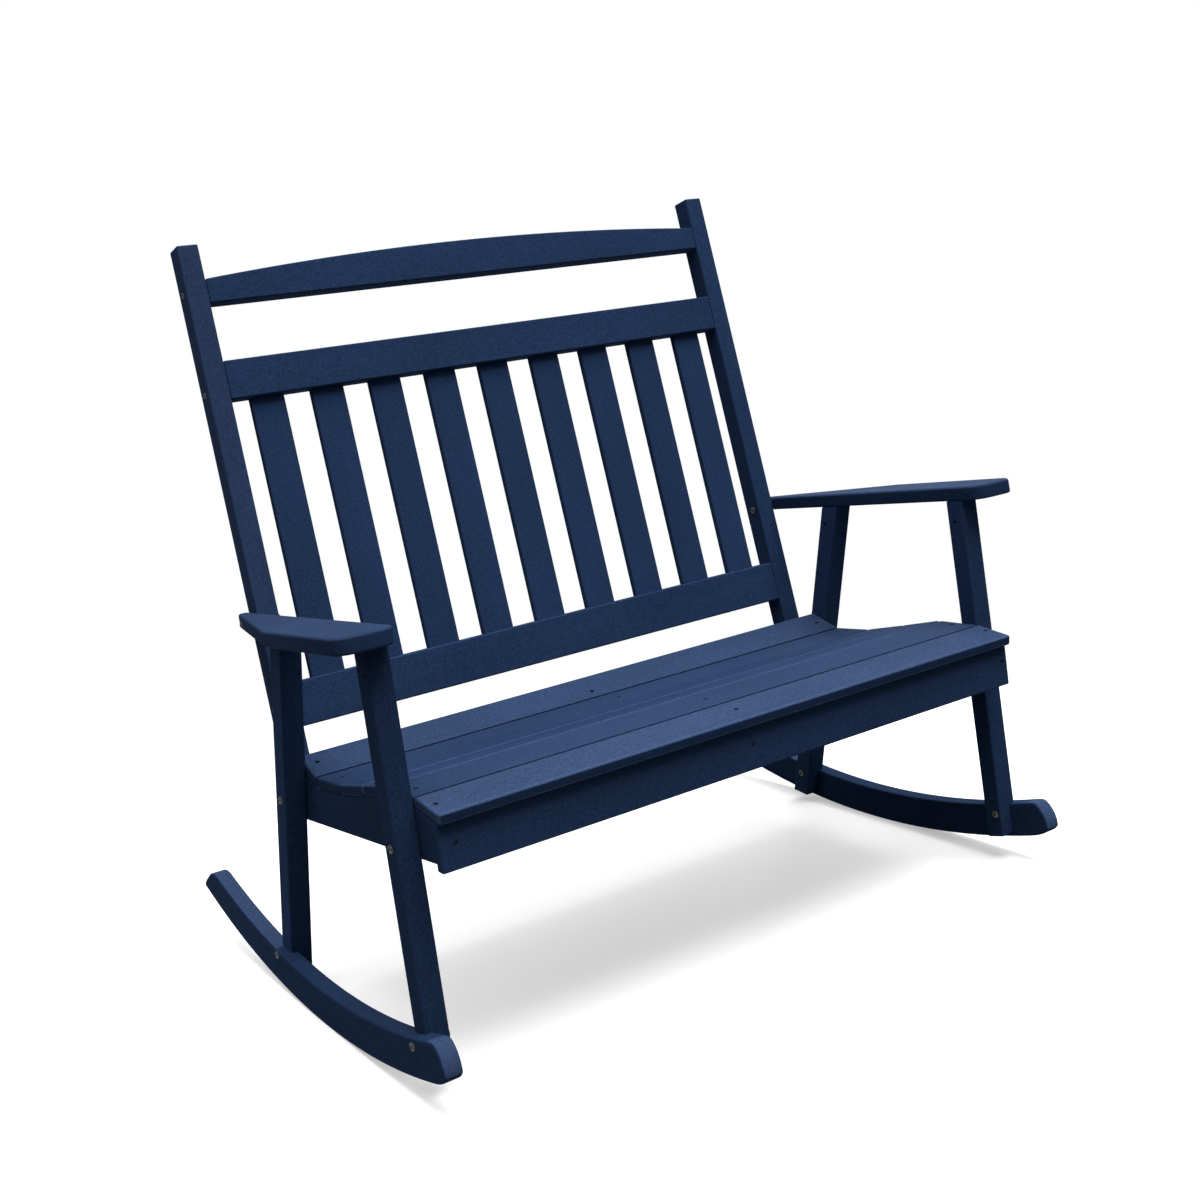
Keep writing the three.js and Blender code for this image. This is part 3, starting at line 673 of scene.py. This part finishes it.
def rocker_end(first, last, bulge, steps=16):
    """The sawn end of a rocker from one rim to the other, bulging outward."""
    run = last - first
    outward = Vector((run.y, -run.x)).normalized()
    turns = [math.pi * i / steps for i in range(steps + 1)]
    return [first + run * (1 - math.cos(turn)) / 2 + outward * bulge * math.sin(turn)
            for turn in turns]


def eased_corner(outline, corner, before, after, steps=8):
    """Sands one corner of an outline round, between these distances before and after it."""
    count = len(outline)
    at = min(range(count), key=lambda i: (outline[i] - corner).length)
    cuts = []
    for way, left in ((-1, before), (1, after)):
        i = at
        while (outline[(i + way) % count] - outline[i % count]).length < left:
            left -= (outline[(i + way) % count] - outline[i % count]).length
            i += way
        start, end = outline[i % count], outline[(i + way) % count]
        cuts.append((i, start + (end - start).normalized() * left))
    (end, first), (start, last) = cuts
    kept = [outline[i % count] for i in range(start + 1, end + count)]
    shares = [i / steps for i in range(steps + 1)]
    return kept + [first * (1 - t) ** 2 + corner * 2 * t * (1 - t) + last * t ** 2 for t in shares]


rocker_top = rocker_radius - rocker_depth
nose_low = arc_angle(-nose_reach, rocker_radius)
nose_high = arc_angle(-nose_reach + nose_slope, rocker_top)
tail_low = arc_angle(tail_reach, rocker_radius)
tail_high = arc_angle(tail_reach - tail_slope, rocker_top)
nose_sole, nose_deck = on_arc(rocker_radius, nose_low), on_arc(rocker_top, nose_high)
tail_sole, tail_deck = on_arc(rocker_radius, tail_low), on_arc(rocker_top, tail_high)
rocker_outline = arc_between(rocker_radius, nose_low, tail_low, sole_steps)
rocker_outline += rocker_end(tail_sole, tail_deck, tail_bulge)
rocker_outline += arc_between(rocker_top, tail_high, nose_high, deck_steps)
rocker_outline += rocker_end(nose_deck, nose_sole, nose_bulge)
for corner, before, after in ((nose_sole, 0.014, 0.032), (nose_deck, 0.008, 0.008),
                              (tail_sole, 0.010, 0.010), (tail_deck, 0.022, 0.022)):
    rocker_outline = eased_corner(rocker_outline, corner, before, after)

# Painted paler and greyer: partly the paler core of sawn lumber, partly a painted highlight.
sawn = lumber("navy_lumber_sawn_end", front_to_back, paler=1.5, greyed=0.1)

for side, label in ((-1, "left"), (1, "right")):
    start = rocker_inner if side > 0 else -rocker_inner - rocker_thickness
    rocker = board(f"rocker_bar_{label}", rocker_outline, rocker_thickness,
                   Matrix.Translation((start, 0, 0)) @ across_width, rocker_rounding)
    finished(rocker, forward)
    faced(rocker, sawn, lambda face: abs(face.normal.x) < mostly_across
          and not paler_nose_end < face.center.y < paler_tail_start)
    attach(rocker, "root")
    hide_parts(f"rocker_{label}")


# Arms: a flat board of the same lumber on each side, with a long taper to a narrow tail
# that is bolted to the stile. The front corners are sawn round, and every edge has a larger
# rounding for the hands. The top is painted a little greyer, a painted sheen, and the sides
# a little darker, a painted shade.
arm_length = 0.60232
arm_width = 0.088
arm_thickness = 0.024
arm_tail_width = 0.016
arm_taper = 0.321
arm_corner = 0.028
arm_corner_steps = 12
arm_rounding = 0.0045
arm_under_share = 0.7
arm_rise = math.radians(3.5)
arm_rear = (0.15916, 0.61746)

# The top is painted greyer, a painted sheen, and the sides darker, a painted shade.
arm_top_painted_sheen = lumber("navy_lumber_arm_top", front_to_back, paler=1, greyed=0.06)
arm_side_painted_shade = lumber("navy_lumber_arm_side", front_to_back, paler=0.78)


def arm_outline(side):
    """An arm seen from above, with its inner edge straight along y."""
    points = []
    for x, from_turn in ((arm_corner, math.pi), (arm_width - arm_corner, 1.5 * math.pi)):
        for i in range(arm_corner_steps + 1):
            turn = from_turn + math.pi / (2 * arm_corner_steps) * i
            points.append((x + arm_corner * math.cos(turn),
                           -arm_length + arm_corner * (1 + math.sin(turn))))
    points += [(arm_width, -arm_taper), (arm_tail_width, 0), (0, 0)]
    return [(side * x, y) for x, y in points]


for side, label in ((-1, "left"), (1, "right")):
    laid = Matrix.Translation((side * leg_inner, *arm_rear)) @ Matrix.Rotation(-arm_rise, 4, "X")
    arm = board(f"arm_board_{label}", arm_outline(side), arm_thickness,
                laid @ Matrix.Translation((0, 0, -arm_thickness)), arm_rounding, arm_under_share)
    finished(arm, arm_top_painted_sheen)
    faced(arm, arm_side_painted_shade, lambda face: abs(face.normal.z) < mostly_across)
    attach(arm, "root")
    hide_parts(f"arm_{label}")


# Bolts and screws: domed bronze-coated steel heads with a six-sided drive recess. Bolts
# hold the arms, legs and rockers, and smaller ones hold the rails through the stiles.
# A bolt's place is (y, z), and an arm bolt's third number is how far out its head sits.
bolt_head = (0.0064, 0.0034)
screw_head = (0.005, 0.0024)
arm_bolts = {-1: (0.12100, 0.60450, 0.02380), 1: (0.12900, 0.60100, 0.02340)}
leg_bolts = ((-0.38900, 0.35060), (0.03350, 0.33480))
rocker_bolts = ((-0.39700, 0.08200), (0.12760, 0.05980))
rail_screw_heights = (0.17625, 0.697, 0.865)
dome_turn = math.radians(64.8)
recess_share = 0.4
recess_ring_shares = ((1.12, 0), (1, 0.06), (0.96, 0.4))


def drive_head(name, radius, height, steps=6, sides=36):
    """A domed head standing on z = 0, with its recess sunk from the crown.

    Each ring of the recess is a share of the recess's width, at a depth that is a share of
    the head's radius.
    """
    angles = [2 * math.pi * i / sides for i in range(sides)]
    sixth = math.pi / 3
    hexagon = [recess_share * radius / math.cos((angle + sixth / 2) % sixth - sixth / 2)
               for angle in angles]
    rings = []
    for i in range(steps + 1):
        turn = dome_turn * i / steps
        rings.append(([radius * math.cos(turn)] * sides,
                      height * math.sin(turn) / math.sin(dome_turn)))
    for share, drop in recess_ring_shares:
        rings.append(([share * reach for reach in hexagon], height - drop * radius))
    bm = bmesh.new()
    loops = [[bm.verts.new((reach * math.cos(angle), reach * math.sin(angle), z))
              for reach, angle in zip(reaches, angles)] for reaches, z in rings]
    for low, high in zip(loops, loops[1:]):
        for i in range(sides):
            j = (i + 1) % sides
            bm.faces.new((low[i], low[j], high[j], high[i]))
    bm.faces.new(loops[-1])
    bm.faces.new(loops[0][::-1])
    bmesh.ops.recalc_face_normals(bm, faces=bm.faces)
    head = shaped(name, bm)
    head.data.shade_smooth()
    head.data.set_sharp_from_angle(angle=crease)
    return head


def coated_steel(name, colour, worn):
    """Coated steel, duller and darker in patches where the coat has worn."""
    material = bpy.data.materials.new(name)
    material.use_nodes = True
    tree = material.node_tree
    place = tree.nodes.new("ShaderNodeTexCoord")
    patches = wired(tree, "ShaderNodeTexNoise", Vector=place.outputs["Object"])
    patches.inputs["Scale"].default_value = 380
    patches.inputs["Detail"].default_value = 4
    mix = wired(tree, "ShaderNodeMix", Factor=patches.outputs["Fac"])
    mix.data_type = "RGBA"
    mix.inputs["A"].default_value = worn
    mix.inputs["B"].default_value = colour
    rough = wired(tree, "ShaderNodeMapRange", Value=patches.outputs["Fac"])
    rough.inputs["To Min"].default_value = 0.62
    rough.inputs["To Max"].default_value = 0.36
    relief = wired(tree, "ShaderNodeBump", Height=patches.outputs["Fac"])
    relief.inputs["Strength"].default_value = 0.25
    relief.inputs["Distance"].default_value = 0.0002
    shader = tree.nodes["Principled BSDF"]
    shader.inputs["Metallic"].default_value = 0.75
    tree.links.new(mix.outputs["Result"], shader.inputs["Base Color"])
    tree.links.new(rough.outputs["Result"], shader.inputs["Roughness"])
    tree.links.new(relief.outputs["Normal"], shader.inputs["Normal"])
    return material


def fastener_tree():
    """A copy of a head at every spot, facing outward and turned by chance as it was driven."""
    tree, sockets, given = tree_with("driven_in", (
        ("Spots", "NodeSocketGeometry"), ("Head", "NodeSocketObject"), ("Seed", "NodeSocketInt"),
        ("Finish", "NodeSocketMaterial")))
    outward = tree.nodes.new("GeometryNodeInputNamedAttribute")
    outward.data_type = "FLOAT_VECTOR"
    outward.inputs["Name"].default_value = "outward"
    facing = wired(tree, "FunctionNodeAlignRotationToVector", Vector=outward.outputs["Attribute"])
    facing.axis = "Z"
    # This node's number sockets share their names with those of other types, so they are
    # counted here.
    chance = wired(tree, "FunctionNodeRandomValue", Seed=given["Seed"])
    chance.data_type = "FLOAT"
    chance.inputs[3].default_value = math.tau
    spin = wired(tree, "ShaderNodeCombineXYZ", Z=chance.outputs[1])
    turn = wired(tree, "FunctionNodeEulerToRotation", Euler=spin.outputs["Vector"])
    driven = wired(tree, "FunctionNodeRotateRotation", Rotation=facing.outputs["Rotation"],
                   Rotate_By=turn.outputs["Rotation"])
    driven.rotation_space = "LOCAL"
    shape = wired(tree, "GeometryNodeObjectInfo", Object=given["Head"])
    placed = wired(tree, "GeometryNodeInstanceOnPoints", Points=given["Spots"],
                   Instance=shape.outputs["Geometry"], Rotation=driven.outputs["Rotation"])
    made_real(tree, placed.outputs["Instances"], given["Finish"])
    return tree, sockets


driven_in = fastener_tree()


def fasteners(name, head, spots, seed, finish):
    """One plain mesh with a copy of the head at every spot, given as (place, outward)."""
    mesh = bpy.data.meshes.new(name)
    mesh.from_pydata([place for place, _ in spots], [], [])
    outward = mesh.attributes.new("outward", "FLOAT_VECTOR", "POINT")
    for i, (_, direction) in enumerate(spots):
        outward.data[i].vector = direction
    piece = made_by(added(name, mesh), *driven_in, Head=head, Seed=seed, Finish=finish)
    bpy.data.objects.remove(head)
    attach(piece, "root")
    return piece


bronze = coated_steel("bronze_coat", (0.078, 0.075, 0.066, 1), (0.011, 0.0105, 0.009, 1))
bolt_spots = []
rail_spots = []
for side in (-1, 1):
    out = Vector((side, 0, 0))
    y, z, outer_arm = arm_bolts[side]
    bolt_spots.append((Vector((side * (bench_half - stile_width), y, z)), -out))
    bolt_spots.append((Vector((side * (leg_inner + outer_arm), y, z)), out))
    for y, z in leg_bolts:
        bolt_spots.append((Vector((side * (leg_inner + leg_thickness), y, z)), out))
    for y, z in rocker_bolts:
        bolt_spots.append((Vector((side * (rocker_inner + rocker_thickness), y, z)), out))
        bolt_spots.append((Vector((side * leg_inner, y, z)), -out))
    for height in rail_screw_heights:
        rail_spots.append((back_place @ Vector((side * bench_half, rail_depth / 2, height)), out))

bolts = fasteners("bolt_heads", drive_head("bolt_head", *bolt_head), bolt_spots, seed=3,
                  finish=bronze)
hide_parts(*(f"{kind}_{label}" for label in ("left", "right") for kind in (
    "arm_bolt", "leg_bolt_front", "leg_bolt_rear", "rocker_bolt_front", "rocker_bolt_rear")))
rail_screws = fasteners("rail_screw_heads", drive_head("screw_head", *screw_head), rail_spots,
                        seed=5, finish=bronze)
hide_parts(*(f"rail_screw_{height}_{label}" for height in ("lower", "upper", "top")
                           for label in ("left", "right")))


# Board screws: small near-black steel screws with low heads, driven to the bottom of their
# pockets in the seat boards, the apron, the side boards and the tops of the legs. They
# show as dark dots.
board_screw_head = (0.0036, 0.0010)
near_black = coated_steel("blackened_coat", (0.020, 0.022, 0.028, 1), (0.006, 0.006, 0.008, 1))
fasteners("board_screw_heads", drive_head("board_screw_head", *board_screw_head), screw_seats,
          seed=9, finish=near_black)
